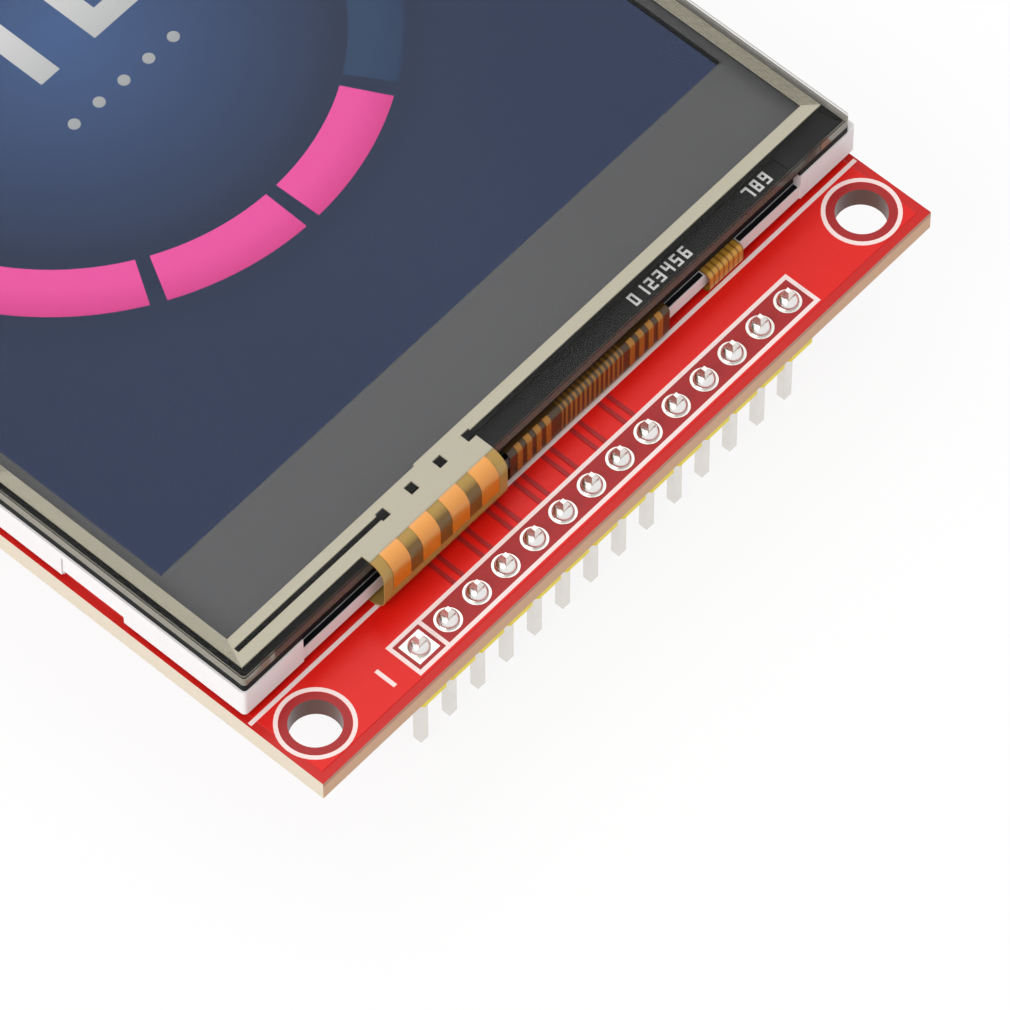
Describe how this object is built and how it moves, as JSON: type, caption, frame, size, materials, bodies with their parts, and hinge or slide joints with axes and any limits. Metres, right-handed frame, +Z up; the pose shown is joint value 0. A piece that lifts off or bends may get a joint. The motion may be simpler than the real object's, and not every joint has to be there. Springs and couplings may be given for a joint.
{
  "type": "tft display module",
  "caption": "Colour liquid-crystal display with a resistive touch panel on a red circuit board, with a pin header along one end and a card socket underneath.",
  "frame": {"origin": "centre of the four mounting holes, on the underside of the board", "axes": "+Z up out of the picture, +Y from the pin header towards the far end, +X along the pin row"},
  "size_m": [0.0548, 0.0892, 0.0148],
  "materials": {
    "mask_red": "satin solder mask",
    "plated": "tinned pads",
    "print_white": "screen print",
    "strip_yellow": "moulded",
    "pin_metal": "tinned, bright",
    "solder": "bright solder",
    "foam": "foam tape",
    "frame_white": "moulded, satin",
    "sheet_white": "satin film",
    "guide_clear": "clear",
    "ribbon_amber": "amber film",
    "ribbon_dark": "dark amber film",
    "ribbon_gold": "amber film over copper",
    "bar_copper": "copper under amber film",
    "stripe_copper": "copper under dark film",
    "lamp": "moulded lamp",
    "polarizer_dark": "film",
    "polarizer_grey": "film",
    "panel_glass": "clear",
    "touch_clear": "clear",
    "picture_navy": "lit picture",
    "picture_slate": "lit picture",
    "picture_pink": "lit picture",
    "picture_silver": "lit picture",
    "silicon": "bare die",
    "tape_black": "tape",
    "gasket_black": "adhesive ring",
    "electrode_silver": "printed silver ink",
    "shell_steel": "folded sheet",
    "socket_black": "moulded",
    "contact_gold": "gold plated",
    "chip_black": "moulded",
    "lead_tin": "tinned",
    "resistor_body": "coated ceramic",
    "capacitor_body": "ceramic"
  },
  "bodies": {
    "root": {"board": "mask_red", "plated_pads": "plated", "front_print": "print_white", "back_print": "print_white", "header_body": "strip_yellow", "header_solder": "solder", "mounting_tape": "foam", "backlight_frame": "frame_white", "reflector_sheet": "sheet_white", "light_guide": "guide_clear", "diffuser_sheet": "sheet_white", "prism_sheet": "sheet_white", "led_strip": "ribbon_gold", "lower_polarizer": "polarizer_dark", "rear_glass": "panel_glass", "picture_field": "picture_navy", "picture_gauge": "picture_slate", "picture_arc": "picture_pink", "picture_digits": "picture_silver", "front_glass": "panel_glass", "upper_polarizer": "polarizer_grey", "driver_chip": "silicon", "display_ribbon": "ribbon_dark", "display_copper": "stripe_copper", "shield_tape": "tape_black", "panel_marks": "print_white", "touch_gasket": "gasket_black", "touch_glass": "touch_clear", "touch_electrodes": "electrode_silver", "touch_film": "touch_clear", "touch_ribbon": "ribbon_amber", "touch_copper": "bar_copper", "socket_shell": "shell_steel", "socket_base": "socket_black", "socket_contacts": "contact_gold", "touch_controller": "chip_black", "small_chips": "chip_black", "chip_leads": "lead_tin", "resistors": "resistor_body", "capacitors": "capacitor_body", "header_pin_01": "pin_metal", "header_pin_02": "pin_metal", "header_pin_03": "pin_metal", "header_pin_04": "pin_metal", "header_pin_05": "pin_metal", "header_pin_06": "pin_metal", "header_pin_07": "pin_metal", "header_pin_08": "pin_metal", "header_pin_09": "pin_metal", "header_pin_10": "pin_metal", "header_pin_11": "pin_metal", "header_pin_12": "pin_metal", "header_pin_13": "pin_metal", "header_pin_14": "pin_metal", "led_1": "lamp", "led_2": "lamp", "led_3": "lamp", "led_4": "lamp", "led_5": "lamp", "led_6": "lamp"}
  },
  "joints": []
}
